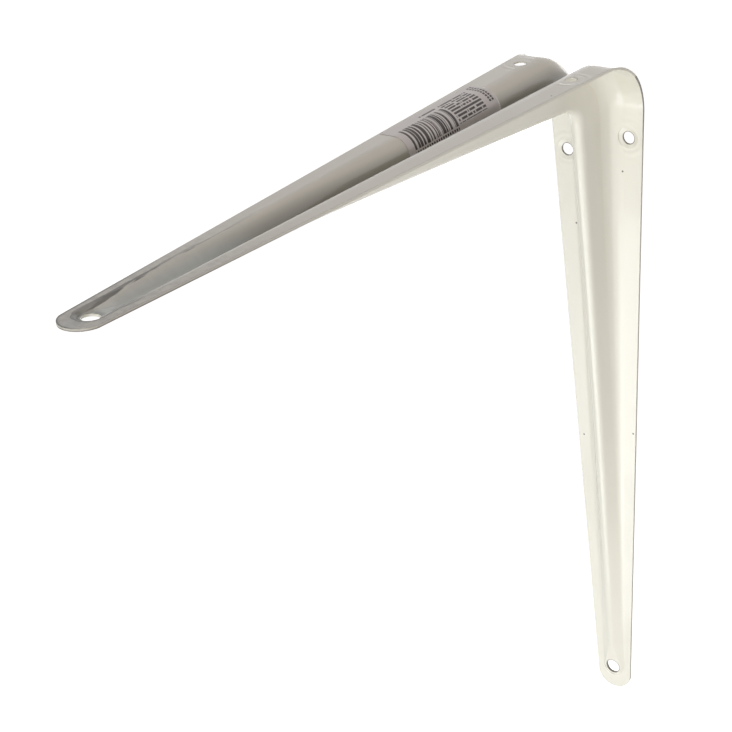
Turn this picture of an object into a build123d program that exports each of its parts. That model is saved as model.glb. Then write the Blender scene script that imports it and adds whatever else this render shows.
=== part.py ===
from build123d import *
from math import asin, atan2, cos, hypot, pi, radians, sin, sqrt, tan
import os

# A pressed shelf bracket: one steel sheet, cut to a tapered strip, bent once to a right angle and
# stiffened by a rib that is pressed towards the inside of the angle along both arms.
# Frame: X runs out under the shelf, Z is up and Y lies across the bracket. The wall face is X = 0,
# the shelf face is Z = 0 and the bracket is mirrored about Y = 0, apart from its staggered holes.

# Driving dimensions, in millimetres and degrees
wall_arm_length = 300.0
shelf_arm_length = 300.0
sheet_thickness = 1.0

strip_width_bend = 44.9
strip_width_tip = 15.4
tip_crown = 6.3
bend_radius = 25.0
gusset_length = 3.5

rib_width_bend = 26.6
rib_width_tip = 10.8
wall_rib_depth = 16.2
shelf_rib_depth = 18.8
rib_depth_tip = 2.4
rib_depth_curve = 1.2  # power of its fall from root to tip
foot_radius_bend = 8.2
foot_radius_tip = 2.4
crest_radius_bend = 2.4
crest_radius_tip = 1.6

seat_depth = 1.0
seat_wall_angle = 37.5
seat_foot_radius = 0.35
seat_run_in = 13.0

tip_hole_diameter = 6.2
tip_hole_setback = 11.2

root_hole_diameter = 5.0
root_hole_spacing = 28.8
root_hole_stagger = 9.0
wall_root_hole_distance = 40.8
shelf_root_hole_distance = 36.6
countersink_diameter = 9.0
countersink_depth = 0.4

rib_spans = 6
gusset_sections = 31

# Worked out from the driving dimensions
pivot = bend_radius + gusset_length
half_bend_arc = bend_radius * pi / 4
seat_floor = seat_depth + sheet_thickness
cut_reach = 4 * seat_floor


class Taper:
    """One size that changes evenly along the strip, from the middle of the bend to a place on the arm."""

    def __init__(self, at_bend, at_end, end_distance):
        self.at_bend = at_bend
        self.rate = (at_end - at_bend) / (end_distance - bend_radius + half_bend_arc)

    def along_strip(self, distance):
        return self.at_bend + self.rate * distance

    def on_arm(self, distance):
        return self.along_strip(distance - bend_radius + half_bend_arc)


def flank(half_width, mouth, floor_half, crest, depth, level):
    """Half of one face of the rib: the mouth's arc and its tangent wall, down to a crest or a flat floor.

    Widths are measured from the centre line, depths from the outer face of the strip.
    """
    across = half_width - floor_half
    down = (depth - crest) - (level + mouth)
    steep = atan2(down, across) + asin((mouth + crest) / hypot(across, down))
    arc = [
        (half_width - mouth * sin(angle), mouth * cos(angle) - mouth - level)
        for angle in (0, steep / 2, steep)
    ]
    wall_end = floor_half + crest * sin(steep), crest - depth - crest * cos(steep)
    return arc, wall_end, -depth


def face_edges(half_face, strip_half=None):
    """The edges of one whole face, from its +Y side to its -Y side."""
    arc, wall_end, bottom = half_face
    far_arc = [(-y, z) for y, z in reversed(arc)]
    far_end = -wall_end[0], wall_end[1]
    if wall_end[1] > bottom:
        lowest = ThreePointArc(wall_end, (0, bottom), far_end)
    else:
        lowest = Line(wall_end, far_end)
    edges = [
        ThreePointArc(*arc),
        Line(arc[-1], wall_end),
        lowest,
        Line(far_end, far_arc[0]),
        ThreePointArc(*far_arc),
    ]
    if strip_half is not None:
        level = arc[0][1]
        edges.insert(0, Line((strip_half, level), arc[0]))
        edges.append(Line(far_arc[-1], (-strip_half, level)))
    return edges


def closed_section(outer, inner):
    """The sheet's cut section, closed from the edges of its outer and inner faces."""
    left = Line(outer[-1] @ 1, inner[-1] @ 1)
    right = Line(inner[0] @ 0, outer[0] @ 0)
    return make_face(outer + [left] + inner + [right])


def rib_flanks(half_width, foot, crest, depth, level=sheet_thickness):
    """Flanks of the rib on the sheet's outer and inner faces, from the radii inside its bends.

    The foot is never so round that it leans the wall past upright.
    """
    foot = min(foot, half_width - crest - sheet_thickness)
    outer = flank(half_width, foot + sheet_thickness, 0, crest, depth, 0)
    inner = flank(half_width, foot, 0, crest + sheet_thickness, depth + sheet_thickness, level)
    return outer, inner


def seat_flanks(half_width):
    """Flanks of the tip hole's seat, whose walls lean at their own angle and end on a flat floor."""
    lean = radians(seat_wall_angle)
    mouth = seat_foot_radius + sheet_thickness
    floor_half = half_width - mouth * tan(lean / 2) - seat_depth / tan(lean)
    under_half = floor_half + sheet_thickness * tan(lean / 2)
    outer = flank(half_width, mouth, floor_half, 0, seat_depth, 0)
    inner = flank(half_width, seat_foot_radius, under_half, 0, seat_floor, sheet_thickness)
    return outer, inner


def arm(length, rib_depth):
    """The straight part of one arm, lying along +X with its outer face up, from the gusset to the tip."""
    seat = length - tip_hole_setback
    run_in = seat - seat_run_in
    strip_half = Taper(strip_width_bend / 2, strip_width_tip / 2, length).on_arm
    rib_half = Taper(rib_width_bend / 2, rib_width_tip / 2, seat).on_arm
    foot = Taper(foot_radius_bend, foot_radius_tip, run_in).on_arm
    crest = Taper(crest_radius_bend, crest_radius_tip, run_in).on_arm

    # Flat strip with a round tip, open where the rib's mouth is
    tip_side = length - tip_crown
    outline = Polyline(
        (tip_side, strip_half(tip_side)),
        (pivot, strip_half(pivot)),
        (pivot, -strip_half(pivot)),
        (tip_side, -strip_half(tip_side)),
    )
    tip_arc = ThreePointArc(outline @ 1, (length, 0), outline @ 0)
    mouth_sides = Polyline(
        (seat, rib_half(seat)),
        (pivot, rib_half(pivot)),
        (pivot, -rib_half(pivot)),
        (seat, -rib_half(seat)),
    )
    mouth_end = ThreePointArc(mouth_sides @ 1, (seat + rib_half(seat), 0), mouth_sides @ 0)
    strip = make_face([outline, tip_arc]) - make_face([mouth_sides, mouth_end])
    strip = extrude(strip, -sheet_thickness)

    # Rib from the gusset to the flat seat of the tip hole
    places = []
    for number in range(rib_spans + 1):
        share = number / rib_spans
        place = pivot + (run_in - pivot) * share
        depth = rib_depth_tip + (rib_depth - rib_depth_tip) * (1 - share) ** rib_depth_curve
        places.append((place, rib_flanks(rib_half(place), foot(place), crest(place), depth)))
    at_seat = seat_flanks(rib_half(seat))
    places.append((seat, at_seat))
    sections = [
        Plane(origin=(distance, 0, 0), x_dir=(0, 1, 0), z_dir=(1, 0, 0))
        * closed_section(face_edges(outer), face_edges(inner))
        for distance, (outer, inner) in places
    ]
    rib = loft(sections, ruled=True)

    # Round end of the rib, turned about the tip hole
    seat_faces = [face_edges(half_face)[2:] for half_face in at_seat]
    for edges in seat_faces:
        edges[0] = Line((0, (edges[0] @ 1).Y), edges[0] @ 1)
    half_seat = closed_section(*seat_faces)
    half_seat = Plane(origin=(seat, 0, 0), x_dir=(0, 1, 0), z_dir=(1, 0, 0)) * half_seat
    rib_end = revolve(half_seat, Axis((seat, 0, 0), (0, 0, 1)), 180)

    tip_hole = Pos(seat, 0, 0) * Cylinder(tip_hole_diameter / 2, cut_reach)
    return strip + rib + rib_end - tip_hole


def reach_to_strip(angle, inset):
    """Distance from the gusset's pivot to one face of the bent strip, in a plane turned from vertical."""
    turned = min(angle, pi / 2 - angle)
    flat_reach = (pivot - inset) / cos(turned)
    if pivot - (pivot - inset) * tan(turned) >= bend_radius:
        return flat_reach
    to_axis = gusset_length * (sin(turned) + cos(turned))
    return to_axis + sqrt(to_axis**2 - 2 * gusset_length**2 + (bend_radius - inset) ** 2)


def strip_distance(angle):
    """Distance along the strip's outer face, from the middle of the bend to the same plane."""
    turned = min(angle, pi / 2 - angle)
    reach = reach_to_strip(turned, 0)
    x = pivot - reach * sin(turned)
    if x >= bend_radius:
        return x - bend_radius + half_bend_arc
    z = reach * cos(turned) - pivot
    return bend_radius * (pi / 4 - atan2(bend_radius - x, z + bend_radius))


def gusset():
    """The bent corner: whole sections of strip and rib, fanned about a pivot inside the angle."""
    shelf_end = shelf_arm_length, shelf_arm_length - tip_hole_setback
    wall_end = wall_arm_length, wall_arm_length - tip_hole_setback
    sections = []
    for number in range(gusset_sections):
        angle = pi / 2 * number / (gusset_sections - 1)
        length, seat = shelf_end if angle <= pi / 4 else wall_end
        run_in = seat - seat_run_in
        distance = strip_distance(angle)
        depth = shelf_rib_depth * cos(angle) ** 2 + wall_rib_depth * sin(angle) ** 2
        crest_slope = rib_depth_curve * (depth - rib_depth_tip) / (run_in - pivot)
        reach = reach_to_strip(angle, 0)
        outer, inner = rib_flanks(
            Taper(rib_width_bend / 2, rib_width_tip / 2, seat).along_strip(distance),
            Taper(foot_radius_bend, foot_radius_tip, run_in).along_strip(distance),
            Taper(crest_radius_bend, crest_radius_tip, run_in).along_strip(distance),
            reach - (pivot - depth) * (1 - crest_slope / 2 * sin(2 * angle)),
            reach - reach_to_strip(angle, sheet_thickness),
        )
        strip_half = Taper(strip_width_bend / 2, strip_width_tip / 2, length).along_strip(distance)
        plane = Plane(
            origin=(pivot - reach * sin(angle), 0, reach * cos(angle) - pivot),
            x_dir=(0, 1, 0),
            z_dir=(cos(angle), 0, sin(angle)),
        )
        section = closed_section(face_edges(outer, strip_half), face_edges(inner, strip_half))
        sections.append(plane * section)
    return loft(sections)


def root_holes(distance, stagger):
    """Tools for the two staggered screw holes of an arm along +X, coined flat inside the angle."""
    coin_top = countersink_depth - sheet_thickness
    drill = Cylinder(root_hole_diameter / 2, cut_reach)
    cone = Cone(countersink_diameter / 2, root_hole_diameter / 2, countersink_depth)
    below = Cylinder(countersink_diameter / 2, countersink_depth)
    tool = drill + Pos(0, 0, coin_top - countersink_depth / 2) * cone
    tool += Pos(0, 0, -sheet_thickness - countersink_depth / 2) * below
    side = root_hole_spacing / 2
    return Pos(distance + stagger / 2, side, 0) * tool + Pos(distance - stagger / 2, -side, 0) * tool


mirror_plane = Plane(origin=(0, 0, 0), z_dir=(1, 0, 1))
shelf_arm = arm(shelf_arm_length, shelf_rib_depth)
wall_arm = mirror(arm(wall_arm_length, wall_rib_depth), about=mirror_plane)
bracket = shelf_arm + gusset() + wall_arm
bracket -= root_holes(shelf_root_hole_distance, root_hole_stagger)
bracket -= mirror(root_holes(wall_root_hole_distance, -root_hole_stagger), about=mirror_plane)

os.makedirs("parts", exist_ok=True)
export_step(bracket, "parts/bracket.step")
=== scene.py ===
import math

import bpy
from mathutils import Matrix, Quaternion, Vector


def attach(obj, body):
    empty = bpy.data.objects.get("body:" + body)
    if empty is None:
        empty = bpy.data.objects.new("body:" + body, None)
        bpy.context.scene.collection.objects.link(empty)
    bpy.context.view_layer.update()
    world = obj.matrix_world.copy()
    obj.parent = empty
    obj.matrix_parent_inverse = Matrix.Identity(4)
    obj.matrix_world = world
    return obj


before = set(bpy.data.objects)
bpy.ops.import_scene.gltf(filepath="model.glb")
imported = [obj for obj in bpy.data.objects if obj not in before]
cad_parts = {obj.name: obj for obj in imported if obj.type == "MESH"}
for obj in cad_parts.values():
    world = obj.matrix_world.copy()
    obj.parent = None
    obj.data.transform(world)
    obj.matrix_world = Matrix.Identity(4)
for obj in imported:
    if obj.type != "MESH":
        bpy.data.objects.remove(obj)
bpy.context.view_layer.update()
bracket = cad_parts["bracket"]
scene = bpy.context.scene
scene.view_settings.view_transform = "Standard"

# the pressed strip, in metres; places along an arm count from the corner
strip = {
    "armStart": 0.025,          # ends of a straight arm
    "armEnd": 0.3,
    "halfStart": 0.021467,      # half widths of the strip there
    "halfEnd": 0.0077,
    "tipSide": 0.2937,          # start of the round tip, its centre and radius
    "tipCentre": 0.291752,
    "tipRadius": 0.008248,
    "seat": 0.2888,             # tip hole
    "ribRoot": 0.0285,          # the rib's depth falls from here to its run-in
    "ribRunIn": 0.2758,
    "ribHalfStart": 0.012753,   # half widths of the rib at the arm's start and the tip hole
    "ribHalfSeat": 0.0054,
    "mouthStart": 0.008779,     # radius of the rib's mouth on the outer face
    "mouthRunIn": 0.0034,
    "crestStart": 0.002342,     # radius of its crest
    "crestRunIn": 0.0016,
    "depthRoot": 0.0188,
    "depthRunIn": 0.0024,
    "depthCurve": 1.2,
    "flangeStart": -0.001,      # from the rib to the flat flange, off the edge of the mouth
    "flangeFull": 0.0005,
    "upStart": 0.02,            # upward part of the normal, from side faces to top faces
    "upFull": 0.2,
}

# screw holes: arm, distance along it, place across it, radius
screwHoles = [
    ("wall", 0.0363, 0.0144, 0.0025),
    ("wall", 0.0453, -0.0144, 0.0025),
    ("wall", 0.2888, 0.0, 0.0031),
    ("shelf", 0.0411, 0.0144, 0.0025),
    ("shelf", 0.0321, -0.0144, 0.0025),
    ("shelf", 0.2888, 0.0, 0.0031),
]


# small helpers for node trees
def addNode(tree, kind, inputs=None, **settings):
    node = tree.nodes.new(kind)
    for name, value in settings.items():
        setattr(node, name, value)
    for name, value in (inputs or {}).items():
        plug(tree, value, node.inputs[name])
    return node


def plug(tree, value, socket):
    if isinstance(value, bpy.types.NodeSocket):
        tree.links.new(value, socket)
    else:
        socket.default_value = value


def calc(tree, operation, first, second=0.0, clamp=False):
    node = addNode(tree, "ShaderNodeMath", operation=operation, use_clamp=clamp)
    plug(tree, first, node.inputs[0])
    plug(tree, second, node.inputs[1])
    return node.outputs[0]


def times(tree, first, *others):
    for other in others:
        first = calc(tree, "MULTIPLY", first, other)
    return first


def choose(tree, share, base, over):
    return calc(tree, "ADD", base, times(tree, share, calc(tree, "SUBTRACT", over, base)))


def reachOf(tree, first, second):
    squares = calc(tree, "ADD", times(tree, first, first), times(tree, second, second))
    return calc(tree, "SQRT", squares)


def ramp(tree, value, low, high, lowResult=0.0, highResult=1.0, smooth=True):
    kind = "SMOOTHSTEP" if smooth else "LINEAR"
    node = addNode(tree, "ShaderNodeMapRange", interpolation_type=kind, clamp=smooth)
    for socket, number in zip(node.inputs, (value, low, high, lowResult, highResult)):
        plug(tree, number, socket)
    return node.outputs[0]


def tint(tree, share, base, over):
    node = addNode(tree, "ShaderNodeMix", data_type="RGBA")
    plug(tree, share, node.inputs[0])
    plug(tree, base, node.inputs[6])
    plug(tree, over, node.inputs[7])
    return node.outputs[2]


def newGroup(name, inputs, outputs, kind="ShaderNodeTree"):
    group = bpy.data.node_groups.new(name, kind)
    for side, sockets in (("INPUT", inputs), ("OUTPUT", outputs)):
        for socketName, socketKind in sockets:
            group.interface.new_socket(name=socketName, in_out=side, socket_type=socketKind)
    into = group.nodes.new("NodeGroupInput").outputs
    out = group.nodes.new("NodeGroupOutput").inputs
    return group, into, out


def placeGroup(tree, group, inputs):
    node = tree.nodes.new("ShaderNodeGroup")
    node.node_tree = group
    for name, value in inputs.items():
        plug(tree, value, node.inputs[name])
    return node.outputs[0]


def newMaterial(name):
    material = bpy.data.materials.new(name)
    material.use_nodes = True
    tree = material.node_tree
    return material, tree, tree.nodes["Principled BSDF"]


# effects that the paint, the paper and the ink share
shared = {
    "patchDetail": 3.0,
    "patchLow": 0.30,           # noise at which a patch starts and is full
    "patchHigh": 0.74,
    "grainTurn": (0.6, 0.9, 0.4),       # keeps the noise from lining up with the arms
}


def makePatchGroup():
    group, into, out = newGroup(
        "softPatches",
        [("Vector", "NodeSocketVector"), ("Size", "NodeSocketFloat"), ("Amount", "NodeSocketFloat")],
        [("Mask", "NodeSocketFloat")],
    )
    scale = calc(group, "DIVIDE", 1.0, into["Size"])
    noise = addNode(group, "ShaderNodeTexNoise",
                    {"Vector": into["Vector"], "Scale": scale, "Detail": shared["patchDetail"]})
    patch = ramp(group, noise.outputs["Fac"], shared["patchLow"], shared["patchHigh"])
    group.links.new(times(group, patch, into["Amount"]), out["Mask"])
    return group


def makeGrainGroup():
    group, into, out = newGroup(
        "fineGrain",
        [("Vector", "NodeSocketVector"), ("Size", "NodeSocketFloat"), ("Detail", "NodeSocketFloat")],
        [("Height", "NodeSocketFloat")],
    )
    scale = calc(group, "DIVIDE", 1.0, into["Size"])
    turned = addNode(group, "ShaderNodeMapping",
                     {"Vector": into["Vector"], "Rotation": shared["grainTurn"]})
    noise = addNode(group, "ShaderNodeTexNoise",
                    {"Vector": turned.outputs[0], "Scale": scale, "Detail": into["Detail"]})
    group.links.new(noise.outputs["Fac"], out["Height"])
    return group


softPatches = makePatchGroup()
fineGrain = makeGrainGroup()
print("shared effects made")


def patchMask(tree, place, size, amount=1.0):
    return placeGroup(tree, softPatches, {"Vector": place, "Size": size, "Amount": amount})


def patchyColour(tree, place, finish):
    mask = patchMask(tree, place, finish["patchSize"], finish["patchAmount"])
    return tint(tree, mask, finish["colour"], finish["patchColour"])


def grainBump(tree, place, finish, kind):
    height = placeGroup(tree, fineGrain, {"Vector": place, "Size": finish[kind + "Size"],
                                          "Detail": finish[kind + "Detail"]})
    return addNode(tree, "ShaderNodeBump", {"Strength": finish[kind + "Strength"],
                                            "Distance": finish[kind + "Height"], "Height": height})


# gloss paint of the bracket
paint = {
    "colour": (0.80, 0.787, 0.69, 1),
    "patchColour": (0.775, 0.76, 0.66, 1),
    "patchSize": 0.05,
    "patchAmount": 0.6,
    "roughness": 0.2,
    "dullSize": 0.03,           # patches where the gloss is a little lower
    "dullAmount": 0.06,
    "dirtRoughness": 0.35,      # added on dirt, bare steel and the painted shade in the holes
    "coat": 0.55,
    "coatRoughness": 0.05,
    "edgeRadius": 0.0003,
    "edgeSamples": 6,
    "waveSize": 0.016,          # slow waves left by the press
    "waveDetail": 0.0,
    "waveHeight": 0.001,
    "waveStrength": 0.22,
    "peelSize": 0.0022,         # orange peel of the sprayed coat
    "peelDetail": 1.0,
    "peelHeight": 0.0002,
    "peelStrength": 0.03,
}

# steel that shows through at cut edges, and in the hole walls partly painted shade
cutEdge = {
    "colour": (0.16, 0.14, 0.115, 1),
    "depth": 0.00008,           # how far in from the edge and from a hole
    "holeDepth": 0.0003,
    "bendStart": 0.02,
    "bendEnd": 0.05,
    "onBend": 0.9,
    "onWallArm": 0.42,
    "onShelfArm": 0.05,
    "onShelfEnd": 0.85,         # darker towards the tip
    "shelfStart": 0.16,
    "shelfFull": 0.27,
    "onShelfTip": 0.95,         # share of that round the tip, which sets in from the stop
    "shelfStop": 0.284,
    "onShelfUpper": 0.45,       # share of that on the upper half of the edge
    "lowerEnd": -0.0007,        # heights between the two halves
    "upperStart": -0.0004,
    # hole walls: darkened partly as bare steel, partly as painted shade
    "inHoles": 0.95,
}

# shallow rings that the punch left in the flanges round the root holes
ripples = {
    "pitch": 0.0034,
    "height": 0.00007,
    "start": 0.001,             # from the edge of the hole
    "full": 0.003,
    "end": 0.0085,
    "armEnd": 0.075,            # further out there are none
}

# dark specks in the paint
specks = {
    "colour": (0.10, 0.085, 0.07, 1),
    "pitch": 0.024,
    "radius": 0.00038,
    "core": 0.6,                # shares of the radius, full and gone
    "fade": 1.5,
    "share": 0.3,
}

# marks of use on the shelf arm, and painted shade in its rib
shelfMarksAndShade = {
    "start": 0.17,              # greying towards the tip, mostly on the flanges: partly handled film, partly painted shade
    "full": 0.285,
    "dirtAndShadeColour": (0.30, 0.28, 0.255, 1),
    "dirtAndShadeSize": 0.0032,
    "dirtAndShadeLeast": 0.36,
    "dirtAndShadeMost": 0.66,
    "dirtAndShadeInRib": 0.3,
    "ribShadeBend": (0.27, 0.28, 0.275, 1),    # painted shade on the floor of the rib, three places
    "ribShadeArm": (0.31, 0.305, 0.268, 1),
    "ribShadeTip": (0.50, 0.60, 0.61, 1),
    "ribAtRoot": 0.95,
    "ribAtTip": 0.6,
    "ribChange": 0.198,         # where the arm's painted shade gives way to the tip's
    "ribChanged": 0.245,
    "ribInside": 0.1,           # edges of the painted shade, in shares of the rib's half width
    "ribOutside": 0.58,
    "ribWiden": 0.12,           # the outer edge moves from here to the change
    "ribWidest": 0.86,
    "ribAllOver": 1.2,          # past the change
    "streakSize": 0.0032,
    "streakStretch": 0.16,
    "stainColour": (0.05, 0.045, 0.034, 1),
    "stainStart": 0.18,
    "stainFull": 0.275,
    "stainThin": 0.0005,        # half width, up to where it widens towards the hole
    "stainWide": 0.0016,
    "stainWiden": 0.25,
    "stainCore": 0.55,          # share of the half width that is full
    "stainInward": 0.0008,      # how far it creeps into the rib near the hole
    "stainWander": 0.0005,      # how far it strays to both sides
    "stainPatchy": (0.1, 0.7, 0.75),    # streaks from, to, and what is left between them
    "stainAmount": 0.95,
    "nearStart": 0.256,         # on the near side it starts only here
    "sideBlend": 0.002,
    "rimStart": 0.235,          # grime at the rim, on the far side
    "rimFull": 0.268,
    "rimWidth": 0.0013,
    "rimAcross": 0.006,
    "seatReach": 0.0045,        # grime round the tip hole
    "seatAmount": 0.7,
    "seatPatchy": (0.15, 0.6, 0.4),
}


# where a point of the surface lies on the strip: along its arm, across it, and from its edges
def stripPlaces(tree):
    place = addNode(tree, "ShaderNodeTexCoord").outputs["Object"]
    x, y, z = addNode(tree, "ShaderNodeSeparateXYZ", {0: place}).outputs
    down = times(tree, z, -1.0)
    along = calc(tree, "MAXIMUM", x, down)
    across = calc(tree, "ABSOLUTE", y)
    stripHalf = ramp(tree, along, strip["armStart"], strip["armEnd"],
                     strip["halfStart"], strip["halfEnd"], smooth=False)
    ribHalf = ramp(tree, along, strip["armStart"], strip["seat"],
                   strip["ribHalfStart"], strip["ribHalfSeat"], smooth=False)
    tipReach = reachOf(tree, calc(tree, "SUBTRACT", along, strip["tipCentre"]), across)
    seatReach = reachOf(tree, calc(tree, "SUBTRACT", along, strip["seat"]), across)
    fromEdge = choose(tree, calc(tree, "GREATER_THAN", along, strip["tipSide"]),
                      calc(tree, "SUBTRACT", stripHalf, across),
                      calc(tree, "SUBTRACT", strip["tipRadius"], tipReach))
    fromMouth = choose(tree, calc(tree, "GREATER_THAN", along, strip["seat"]),
                       calc(tree, "SUBTRACT", across, ribHalf),
                       calc(tree, "SUBTRACT", seatReach, strip["ribHalfSeat"]))
    onShelf = calc(tree, "GREATER_THAN", x, down)
    normal = addNode(tree, "ShaderNodeNewGeometry").outputs["Normal"]
    upward = addNode(tree, "ShaderNodeSeparateXYZ", {0: normal}).outputs[2]
    facesUp = ramp(tree, upward, strip["upStart"], strip["upFull"])
    fromHole = 1.0              # more than any hole is away
    for arm, distance, side, radius in screwHoles:
        run = calc(tree, "SUBTRACT", x if arm == "shelf" else down, distance)
        reach = reachOf(tree, run, calc(tree, "SUBTRACT", y, side))
        fromHole = calc(tree, "MINIMUM", fromHole, calc(tree, "SUBTRACT", reach, radius))
    return {
        "place": place,
        "y": y,
        "z": z,
        "along": along,
        "onShelf": onShelf,
        "onTop": times(tree, onShelf, facesUp),
        "ribShare": calc(tree, "DIVIDE", across, ribHalf),
        "fromEdge": fromEdge,
        "fromMouth": fromMouth,
        "fromHole": fromHole,
    }


def speckMask(tree, spot):
    flat = addNode(tree, "ShaderNodeCombineXYZ",
                   {"X": calc(tree, "ADD", spot["along"], spot["onShelf"]), "Y": spot["y"]})
    cells = addNode(tree, "ShaderNodeTexVoronoi",
                    {"Vector": flat.outputs[0], "Scale": 1 / specks["pitch"]}, voronoi_dimensions="2D")
    reach = specks["radius"] / specks["pitch"]
    near = ramp(tree, cells.outputs["Distance"],
                reach * specks["core"], reach * specks["fade"], 1.0, 0.0)
    lot = addNode(tree, "ShaderNodeSeparateXYZ", {0: cells.outputs["Color"]}).outputs[0]
    return times(tree, near, calc(tree, "LESS_THAN", lot, specks["share"]))


def cutMask(tree, spot):
    edge = calc(tree, "LESS_THAN", spot["fromEdge"], cutEdge["depth"])
    # hole walls darkened, partly bare steel and partly painted shade
    hole = calc(tree, "LESS_THAN", spot["fromHole"], cutEdge["holeDepth"])
    onWall = ramp(tree, spot["along"], cutEdge["bendStart"], cutEdge["bendEnd"],
                  cutEdge["onBend"], cutEdge["onWallArm"])
    onShelf = ramp(tree, spot["along"], cutEdge["shelfStart"], cutEdge["shelfFull"],
                   cutEdge["onShelfArm"], cutEdge["onShelfEnd"])
    upper = ramp(tree, spot["z"], cutEdge["lowerEnd"], cutEdge["upperStart"],
                 1.0, cutEdge["onShelfUpper"])
    tip = ramp(tree, spot["along"], cutEdge["shelfStop"], strip["tipSide"],
               1.0, cutEdge["onShelfTip"])
    amount = choose(tree, spot["onShelf"], onWall, times(tree, onShelf, upper, tip))
    inHoles = choose(tree, spot["onShelf"], cutEdge["inHoles"], cutEdge["onShelfArm"])
    return calc(tree, "MAXIMUM", times(tree, edge, amount), times(tree, hole, inHoles))


# stain along the mouth of the rib, grime at the rim of the tip and round its hole
def stainMask(tree, spot):
    along = spot["along"]
    drawn = addNode(tree, "ShaderNodeMapping",
                    {"Vector": spot["place"], "Scale": (shelfMarksAndShade["streakStretch"], 1.0, 1.0)})
    streak = patchMask(tree, drawn.outputs[0], shelfMarksAndShade["streakSize"])
    stray = ramp(tree, streak, 0.0, 1.0, -shelfMarksAndShade["stainWander"], shelfMarksAndShade["stainWander"])
    widen = ramp(tree, along, shelfMarksAndShade["stainWiden"], strip["seat"])
    stray = calc(tree, "ADD", stray, times(tree, widen, shelfMarksAndShade["stainInward"]))
    offMouth = calc(tree, "ABSOLUTE", calc(tree, "ADD", spot["fromMouth"], stray))
    half = ramp(tree, widen, 0.0, 1.0, shelfMarksAndShade["stainThin"], shelfMarksAndShade["stainWide"], smooth=False)
    mouth = ramp(tree, calc(tree, "DIVIDE", offMouth, half), shelfMarksAndShade["stainCore"], 1.0, 1.0, 0.0)
    nearSide = ramp(tree, along, shelfMarksAndShade["nearStart"], strip["seat"])
    onFar = ramp(tree, spot["y"], -shelfMarksAndShade["sideBlend"], shelfMarksAndShade["sideBlend"], 1.0, 0.0)
    mouth = times(tree, mouth, choose(tree, onFar, nearSide, 1.0),
                  ramp(tree, streak, *shelfMarksAndShade["stainPatchy"]))
    rim = times(tree, ramp(tree, spot["fromEdge"], 0.0, shelfMarksAndShade["rimWidth"], 1.0, 0.0),
                ramp(tree, along, shelfMarksAndShade["rimStart"], shelfMarksAndShade["rimFull"]),
                ramp(tree, spot["y"], 0.0, shelfMarksAndShade["rimAcross"], 1.0, 0.0))
    seat = ramp(tree, spot["fromHole"], 0.0, shelfMarksAndShade["seatReach"], shelfMarksAndShade["seatAmount"], 0.0)
    seat = times(tree, seat, ramp(tree, streak, *shelfMarksAndShade["seatPatchy"]))
    marks = calc(tree, "MAXIMUM", mouth, calc(tree, "MAXIMUM", rim, seat))
    wear = times(tree, ramp(tree, along, shelfMarksAndShade["stainStart"], shelfMarksAndShade["stainFull"]), spot["onTop"])
    return times(tree, marks, wear, shelfMarksAndShade["stainAmount"])


def rippleHeight(tree, spot):
    fromHole = spot["fromHole"]
    swing = calc(tree, "SINE", times(tree, fromHole, math.tau / ripples["pitch"]))
    fade = times(tree, ramp(tree, fromHole, ripples["start"], ripples["full"]),
                 ramp(tree, fromHole, ripples["full"], ripples["end"], 1.0, 0.0),
                 ramp(tree, spot["fromMouth"], strip["flangeStart"], strip["flangeFull"]),
                 calc(tree, "LESS_THAN", spot["along"], ripples["armEnd"]))
    return times(tree, swing, fade)


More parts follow.
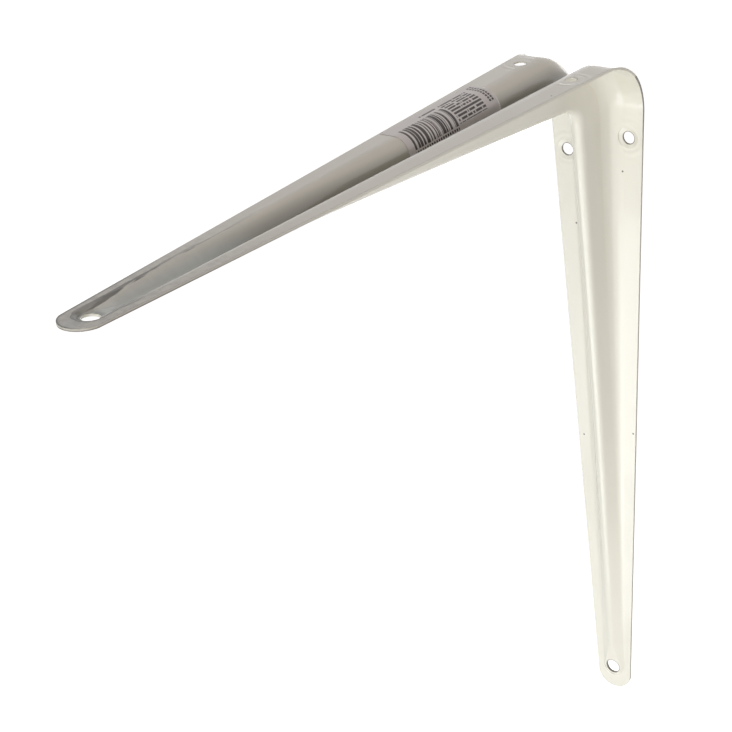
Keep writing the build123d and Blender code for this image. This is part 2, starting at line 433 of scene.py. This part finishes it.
def makePaint():
    material, tree, shader = newMaterial("glossPaint")
    spot = stripPlaces(tree)
    place = spot["place"]
    along = spot["along"]
    colour = patchyColour(tree, place, paint)
    colour = tint(tree, speckMask(tree, spot), colour, specks["colour"])

    # painted shade in the rib of the shelf arm, in three tones
    change = ramp(tree, along, shelfMarksAndShade["ribChange"], shelfMarksAndShade["ribChanged"])
    ribShadeAmount = ramp(tree, change, 0.0, 1.0, shelfMarksAndShade["ribAtRoot"], shelfMarksAndShade["ribAtTip"], smooth=False)
    outside = ramp(tree, along, shelfMarksAndShade["ribWiden"], shelfMarksAndShade["ribChange"],
                   shelfMarksAndShade["ribOutside"], shelfMarksAndShade["ribWidest"])
    outside = choose(tree, change, outside, shelfMarksAndShade["ribAllOver"])
    inRib = ramp(tree, spot["ribShare"], shelfMarksAndShade["ribInside"], outside, 1.0, 0.0)
    ribShadeColour = tint(tree, ramp(tree, along, strip["ribRoot"], shelfMarksAndShade["ribWiden"]),
                     shelfMarksAndShade["ribShadeBend"], shelfMarksAndShade["ribShadeArm"])
    ribShadeColour = tint(tree, change, ribShadeColour, shelfMarksAndShade["ribShadeTip"])
    colour = tint(tree, times(tree, ribShadeAmount, inRib, spot["onTop"]), colour, ribShadeColour)

    # handled film and painted shade towards its tip, stains there, bare steel at cut edges and painted
    # shade in the holes
    dirtAndShade = ramp(tree, patchMask(tree, place, shelfMarksAndShade["dirtAndShadeSize"]), 0.0, 1.0,
                shelfMarksAndShade["dirtAndShadeLeast"], shelfMarksAndShade["dirtAndShadeMost"])
    onFlange = ramp(tree, spot["fromMouth"], strip["flangeStart"], strip["flangeFull"],
                    shelfMarksAndShade["dirtAndShadeInRib"], 1.0)
    wear = times(tree, ramp(tree, along, shelfMarksAndShade["start"], shelfMarksAndShade["full"]), spot["onTop"])
    colour = tint(tree, times(tree, dirtAndShade, onFlange, wear), colour, shelfMarksAndShade["dirtAndShadeColour"])
    stain = stainMask(tree, spot)
    colour = tint(tree, stain, colour, shelfMarksAndShade["stainColour"])
    # dark cut edges of bare steel, and painted shade in the hole walls
    cut = cutMask(tree, spot)
    colour = tint(tree, cut, colour, cutEdge["colour"])
    tree.links.new(colour, shader.inputs["Base Color"])

    # gloss: dulled a little in patches, and on dirt, bare steel and the painted shade in the holes
    dull = patchMask(tree, place, paint["dullSize"], paint["dullAmount"])
    rough = calc(tree, "ADD", dull, paint["roughness"])
    dirty = times(tree, calc(tree, "MAXIMUM", stain, cut), paint["dirtRoughness"])
    tree.links.new(calc(tree, "ADD", rough, dirty, clamp=True), shader.inputs["Roughness"])
    shader.inputs["Coat Weight"].default_value = paint["coat"]
    shader.inputs["Coat Roughness"].default_value = paint["coatRoughness"]

    # softened edges, slow press waves, the skin of the paint and the punch's rings
    last = addNode(tree, "ShaderNodeBevel", {"Radius": paint["edgeRadius"]}, samples=paint["edgeSamples"])
    rings = addNode(tree, "ShaderNodeBump",
                    {"Distance": ripples["height"], "Height": rippleHeight(tree, spot)})
    for bump in (grainBump(tree, place, paint, "wave"), grainBump(tree, place, paint, "peel"), rings):
        tree.links.new(last.outputs[0], bump.inputs["Normal"])
        last = bump
    tree.links.new(last.outputs[0], shader.inputs["Normal"])
    return material


bracket.data.materials.clear()
bracket.data.materials.append(makePaint())
print("paint made")


# paper label in the mouth of the shelf arm's rib, with plain bars and rules
label = {
    "start": 0.0625,            # along the shelf arm
    "end": 0.1215,
    "top": -0.0058,             # round the rib's mouth, 0 where the flat face ends
    "bottom": 0.0136,
    "column": 0.0002926,        # cells of the sheet
    "row": 0.0003,
    "lift": 0.00003,
    "thickness": 0.00006,
    "paper": {
        "colour": (0.80, 0.765, 0.755, 1),
        "patchColour": (0.75, 0.715, 0.71, 1),
        "patchSize": 0.012,
        "patchAmount": 0.5,
        "roughness": 0.3,
        "coat": 0.4,
        "fibreSize": 0.0004,
        "fibreDetail": 2.0,
        "fibreHeight": 0.00005,
        "fibreStrength": 0.15,
    },
    "ink": {
        "colour": (0.030, 0.023, 0.021, 1),
        "patchColour": (0.060, 0.048, 0.044, 1),
        "patchSize": 0.004,
        "patchAmount": 0.8,
        "roughness": 0.42,
    },
    "print": {                  # shares are chances, the rest counts rows or columns of cells
        "Seed": 7,
        "Bar share": 0.66,      # chance that a bar is inked
        "Bar columns": 2,
        "Bar gap": 7,           # one column in so many stays blank
        "Word share": 0.87,     # chance that a word goes on
        "Word columns": 2,
        "Line lots": 97,        # more than the words of a line need
        "Rule pitch": 5,
        "Rule rows": 3,
        "Dash pitch": 5,
        "Dash gap": 2,
        "Header pitch": 6,
        "Header columns": 4,
        "Header rows": 4,
    },
    "areas": {                  # from and to along the arm, from and to round the mouth
        "Bars": (0.0898, 0.1176, -0.0006, 0.0094),
        "Bar rule": (0.0898, 0.1176, 0.0101, 0.0110),
        "Rules": (0.0705, 0.0884, -0.0030, 0.0092),
        "Header": (0.0644, 0.0674, -0.0046, 0.0074),
        "Caption": (0.0900, 0.1010, -0.0030, -0.0022),
    },
}
areaEdges = (" first column", " last column", " first row", " last row")


def alongArm(distance, atStart, atEnd, end, start=strip["armStart"]):
    return atStart + (atEnd - atStart) * (distance - start) / (end - start)


def mouthPoint(distance, roundMouth, lift):
    half = alongArm(distance, strip["ribHalfStart"], strip["ribHalfSeat"], strip["seat"])
    mouth = alongArm(distance, strip["mouthStart"], strip["mouthRunIn"], strip["ribRunIn"])
    crest = alongArm(distance, strip["crestStart"], strip["crestRunIn"], strip["ribRunIn"])
    left = alongArm(distance, 1.0, 0.0, strip["ribRunIn"], strip["ribRoot"]) ** strip["depthCurve"]
    depth = strip["depthRunIn"] + (strip["depthRoot"] - strip["depthRunIn"]) * left
    fall = depth - crest - mouth
    steep = math.atan2(fall, half) + math.asin((mouth + crest) / math.hypot(half, fall))
    angle = min(max(roundMouth / mouth, 0.0), steep)
    beyond = roundMouth - angle * mouth
    y = -half + mouth * math.sin(angle) + beyond * math.cos(angle)
    z = -mouth * (1 - math.cos(angle)) - beyond * math.sin(angle)
    return distance, y + lift * math.sin(angle), z + lift * math.cos(angle)


def labelSheet():
    columns = round((label["end"] - label["start"]) / label["column"])
    rows = round((label["bottom"] - label["top"]) / label["row"])
    vertices = []
    for lift in (label["lift"] + label["thickness"], label["lift"]):
        for column in range(columns + 1):
            for row in range(rows + 1):
                vertices.append(mouthPoint(label["start"] + column * label["column"],
                                           label["top"] + row * label["row"], lift))
    layer = (columns + 1) * (rows + 1)

    def corner(column, row, under=0):
        return under * layer + column * (rows + 1) + row

    # upper face cell by cell, under face, and the rim between them
    cells = [(column, row) for column in range(columns) for row in range(rows)]
    faces = []
    for column, row in cells:
        ring = [(column, row), (column, row + 1), (column + 1, row + 1), (column + 1, row)]
        faces.append([corner(*spot) for spot in ring])
    for column, row in cells:
        ring = [(column, row), (column + 1, row), (column + 1, row + 1), (column, row + 1)]
        faces.append([corner(*spot, 1) for spot in ring])
    rim = [(column, 0) for column in range(columns)]
    rim += [(columns, row) for row in range(rows)]
    rim += [(column, rows) for column in range(columns, 0, -1)]
    rim += [(0, row) for row in range(rows, 0, -1)]
    for here, after in zip(rim, rim[1:] + rim[:1]):
        faces.append([corner(*here), corner(*after), corner(*after, 1), corner(*here, 1)])
    mesh = bpy.data.meshes.new("labelSheet")
    mesh.from_pydata(vertices, [], faces)
    for name, number in (("column", 0), ("row", 1)):
        numbers = mesh.attributes.new(name, "INT", "FACE")
        values = [cell[number] for cell in cells] + [-1] * (len(faces) - len(cells))
        numbers.data.foreach_set("value", values)
    mesh.shade_smooth()
    mesh.update()
    return mesh


def makeLabelMaterial(name, finish):
    material, tree, shader = newMaterial(name)
    place = addNode(tree, "ShaderNodeTexCoord").outputs["Object"]
    tree.links.new(patchyColour(tree, place, finish), shader.inputs["Base Color"])
    shader.inputs["Roughness"].default_value = finish["roughness"]
    if "coat" in finish:
        shader.inputs["Coat Weight"].default_value = finish["coat"]
    if "fibreSize" in finish:
        fibres = grainBump(tree, place, finish, "fibre")
        tree.links.new(fibres.outputs[0], shader.inputs["Normal"])
    return material


def makePrintTree():
    sockets = [("Sheet", "NodeSocketGeometry")]
    sockets += [(name, "NodeSocketMaterial") for name in ("Paper", "Ink")]
    for name, value in label["print"].items():
        sockets.append((name, "NodeSocketInt" if isinstance(value, int) else "NodeSocketFloat"))
    for name in label["areas"]:
        sockets += [(name + edge, "NodeSocketInt") for edge in areaEdges]
    tree, into, out = newGroup("labelPrint", sockets, [("Label", "NodeSocketGeometry")],
                               "GeometryNodeTree")

    def number(name):
        node = addNode(tree, "GeometryNodeInputNamedAttribute", data_type="INT")
        node.inputs["Name"].default_value = name
        return next(s for s in node.outputs if s.enabled and s.type == "INT")

    def whole(operation, first, second):
        node = addNode(tree, "FunctionNodeIntegerMath", operation=operation)
        plug(tree, first, node.inputs[0])
        plug(tree, second, node.inputs[1])
        return node.outputs[0]

    def compare(operation, first, second):
        node = addNode(tree, "FunctionNodeCompare", data_type="INT", operation=operation)
        plug(tree, first, node.inputs[2])
        plug(tree, second, node.inputs[3])
        return node.outputs[0]

    def both(first, second, operation="AND"):
        node = addNode(tree, "FunctionNodeBooleanMath", operation=operation)
        plug(tree, first, node.inputs[0])
        plug(tree, second, node.inputs[1])
        return node.outputs[0]

    def either(first, second):
        return both(first, second, "OR")

    def chance(share, lot, seed):
        node = addNode(tree, "FunctionNodeRandomValue", data_type="BOOLEAN")
        for name, value in (("Probability", share), ("ID", lot), ("Seed", seed)):
            plug(tree, value, next(s for s in node.inputs if s.enabled and s.name == name))
        return next(s for s in node.outputs if s.enabled)

    column = number("column")
    row = number("row")

    def area(name):
        firstColumn, lastColumn, firstRow, lastRow = [into[name + edge] for edge in areaEdges]
        inside = both(compare("GREATER_EQUAL", column, firstColumn),
                      compare("LESS_EQUAL", column, lastColumn))
        inside = both(inside, compare("GREATER_EQUAL", row, firstRow))
        return both(inside, compare("LESS_EQUAL", row, lastRow))

    # bars: inked by chance, with a blank column now and then and a bar at each end
    bar = chance(into["Bar share"], whole("DIVIDE", column, into["Bar columns"]), into["Seed"])
    bar = both(bar, compare("GREATER_THAN", whole("MODULO", column, into["Bar gap"]), 0))
    for edge in areaEdges[:2]:
        bar = either(bar, compare("EQUAL", column, into["Bars" + edge]))
    printed = both(area("Bars"), bar)

    # rules: bold lines every few rows, broken by chance into words, and a caption of such words
    fromTop = whole("SUBTRACT", row, into["Rules first row"])
    line = whole("DIVIDE", fromTop, into["Rule pitch"])
    onLine = compare("LESS_THAN", whole("MODULO", fromTop, into["Rule pitch"]), into["Rule rows"])
    lot = whole("ADD", whole("MULTIPLY", line, into["Line lots"]),
                whole("DIVIDE", column, into["Word columns"]))
    word = chance(into["Word share"], lot, whole("ADD", into["Seed"], 1))
    printed = either(printed, both(both(area("Rules"), onLine), word))
    printed = either(printed, both(area("Caption"), word))

    # header: stripes of short blocks that run round the mouth, and dashes under the bars
    stripe = whole("MODULO", whole("SUBTRACT", column, into["Header first column"]), into["Header pitch"])
    block = both(compare("LESS_THAN", stripe, into["Header columns"]),
                 compare("GREATER_THAN", whole("MODULO", row, into["Header rows"]), 0))
    printed = either(printed, both(area("Header"), block))
    dash = compare("GREATER_EQUAL", whole("MODULO", column, into["Dash pitch"]), into["Dash gap"])
    printed = either(printed, both(area("Bar rule"), dash))

    blank = addNode(tree, "GeometryNodeSetMaterial",
                    {"Geometry": into["Sheet"], "Material": into["Paper"]})
    real = addNode(tree, "GeometryNodeRealizeInstances", {"Geometry": blank.outputs[0]})
    inked = addNode(tree, "GeometryNodeSetMaterial",
                    {"Geometry": real.outputs[0], "Selection": printed, "Material": into["Ink"]})
    tree.links.new(inked.outputs[0], out["Label"])
    return tree


def makeLabel():
    sheet = bpy.data.objects.new("labelSheet", labelSheet())
    scene.collection.objects.link(sheet)
    values = dict(label["print"])
    values["Paper"] = makeLabelMaterial("labelPaper", label["paper"])
    values["Ink"] = makeLabelMaterial("labelInk", label["ink"])
    for name, (first, last, top, bottom) in label["areas"].items():
        cells = (round((first - label["start"]) / label["column"]),
                 round((last - label["start"]) / label["column"]) - 1,
                 round((top - label["top"]) / label["row"]),
                 round((bottom - label["top"]) / label["row"]) - 1)
        for edge, cell in zip(areaEdges, cells):
            values[name + edge] = cell
    modifier = sheet.modifiers.new("print", "NODES")
    modifier.node_group = makePrintTree()
    for item in modifier.node_group.interface.items_tree:
        if item.in_out == "INPUT" and item.name in values:
            modifier[item.identifier] = values[item.name]
    drawn = sheet.evaluated_get(bpy.context.evaluated_depsgraph_get())
    mesh = bpy.data.meshes.new_from_object(drawn)
    bpy.data.objects.remove(sheet)
    mesh.name = "paperLabel"
    return bpy.data.objects.new("paperLabel", mesh)


paperLabel = makeLabel()
scene.collection.objects.link(paperLabel)
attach(paperLabel, "root")
print("label made,", len(paperLabel.data.polygons), "faces")


# floor, light and camera
studio = {
    "floorLevel": -0.95,
    "floorHalf": 8.0,
    "floorColour": (0.8, 0.8, 0.8, 1),
    "floorRoughness": 0.9,
    "floorLift": 0.92,          # brings the floor up to white where it is seen
    "ambient": (0.18, 0.168, 0.163, 1),
    "white": (1, 1, 1, 1),
}
lamps = {
    "frontPanel": {"place": (1.25, 0.08, -0.5), "aim": (0.0, 0.0, -0.15), "wide": 2.6, "high": 0.9,
                   "power": 12.4, "colour": (1.0, 1.0, 0.98)},
    "lowPanel": {"place": (0.36, -0.06, -0.37), "aim": (0.0, 0.0, -0.40), "wide": 0.3, "high": 0.3,
                 "power": 0.54, "colour": (0.93, 0.97, 1.0)},
    "sidePanel": {"place": (0.55, 1.45, 0.3), "aim": (0.05, 0.0, -0.1), "wide": 1.0, "high": 1.0,
                  "power": 4.4, "colour": (1.0, 0.93, 0.93)},
    "topPanel": {"place": (-0.35, 0.0, 1.5), "aim": (0.1, 0.0, 0.0), "wide": 1.2, "high": 1.2,
                 "power": 4.75, "colour": (1.0, 0.87, 0.79)},
    "backPanel": {"place": (-1.3, -0.3, -0.3), "aim": (0.0, 0.0, -0.16), "wide": 1.0, "high": 1.0,
                  "power": 5.0, "colour": (1.0, 0.98, 0.95)},
}
view = {
    "place": (0.69526, 0.430893, 0.251273),
    "aim": (0.160321, 0.0, -0.071871),
    "roll": -4.8607,            # degrees, the photo hangs a little to one side
    "lens": 105.2775,
    "sensor": 36.0,
    "clipStart": 0.01,
}


# what the camera sees, straight or by way of gloss and glass
def seenRays(tree):
    rays = addNode(tree, "ShaderNodeLightPath").outputs
    bounced = calc(tree, "MAXIMUM", rays["Is Glossy Ray"], rays["Is Transmission Ray"])
    return calc(tree, "MAXIMUM", rays["Is Camera Ray"], bounced)


def makeWorld():
    world = bpy.data.worlds.new("studioWorld")
    scene.world = world
    world.use_nodes = True
    tree = world.node_tree
    tree.nodes.clear()
    colour = tint(tree, seenRays(tree), studio["ambient"], studio["white"])
    back = addNode(tree, "ShaderNodeBackground", {"Color": colour, "Strength": 1.0})
    out = addNode(tree, "ShaderNodeOutputWorld")
    tree.links.new(back.outputs[0], out.inputs["Surface"])


def makeFloor():
    half = studio["floorHalf"]
    corners = [(-half, -half), (half, -half), (half, half), (-half, half)]
    mesh = bpy.data.meshes.new("studioFloor")
    mesh.from_pydata([(x, y, studio["floorLevel"]) for x, y in corners], [], [(0, 1, 2, 3)])
    floor = bpy.data.objects.new("studioFloor", mesh)
    scene.collection.objects.link(floor)
    material, tree, shader = newMaterial("floorPaper")
    shader.inputs["Base Color"].default_value = studio["floorColour"]
    shader.inputs["Roughness"].default_value = studio["floorRoughness"]
    shader.inputs["Emission Color"].default_value = studio["white"]
    lift = times(tree, seenRays(tree), studio["floorLift"])
    tree.links.new(lift, shader.inputs["Emission Strength"])
    mesh.materials.append(material)


def turnTo(place, aim):
    return (Vector(aim) - Vector(place)).to_track_quat("-Z", "Y")


def makeLamp(name, lamp):
    light = bpy.data.lights.new(name, "AREA")
    light.shape = "RECTANGLE"
    light.size = lamp["wide"]
    light.size_y = lamp["high"]
    light.energy = lamp["power"]
    light.color = lamp["colour"]
    stand = bpy.data.objects.new(name, light)
    stand.location = lamp["place"]
    stand.rotation_euler = turnTo(lamp["place"], lamp["aim"]).to_euler()
    stand.visible_camera = False
    scene.collection.objects.link(stand)


def makeCamera():
    data = bpy.data.cameras.new("photoCamera")
    data.lens = view["lens"]
    data.sensor_width = view["sensor"]
    data.sensor_fit = "HORIZONTAL"
    data.clip_start = view["clipStart"]
    camera = bpy.data.objects.new("photoCamera", data)
    roll = Quaternion((0, 0, 1), math.radians(view["roll"]))
    camera.rotation_mode = "QUATERNION"
    camera.rotation_quaternion = turnTo(view["place"], view["aim"]) @ roll
    camera.location = view["place"]
    scene.collection.objects.link(camera)
    scene.camera = camera


makeWorld()
makeFloor()
for name, lamp in lamps.items():
    makeLamp(name, lamp)
makeCamera()
print("floor, lamps and camera placed")
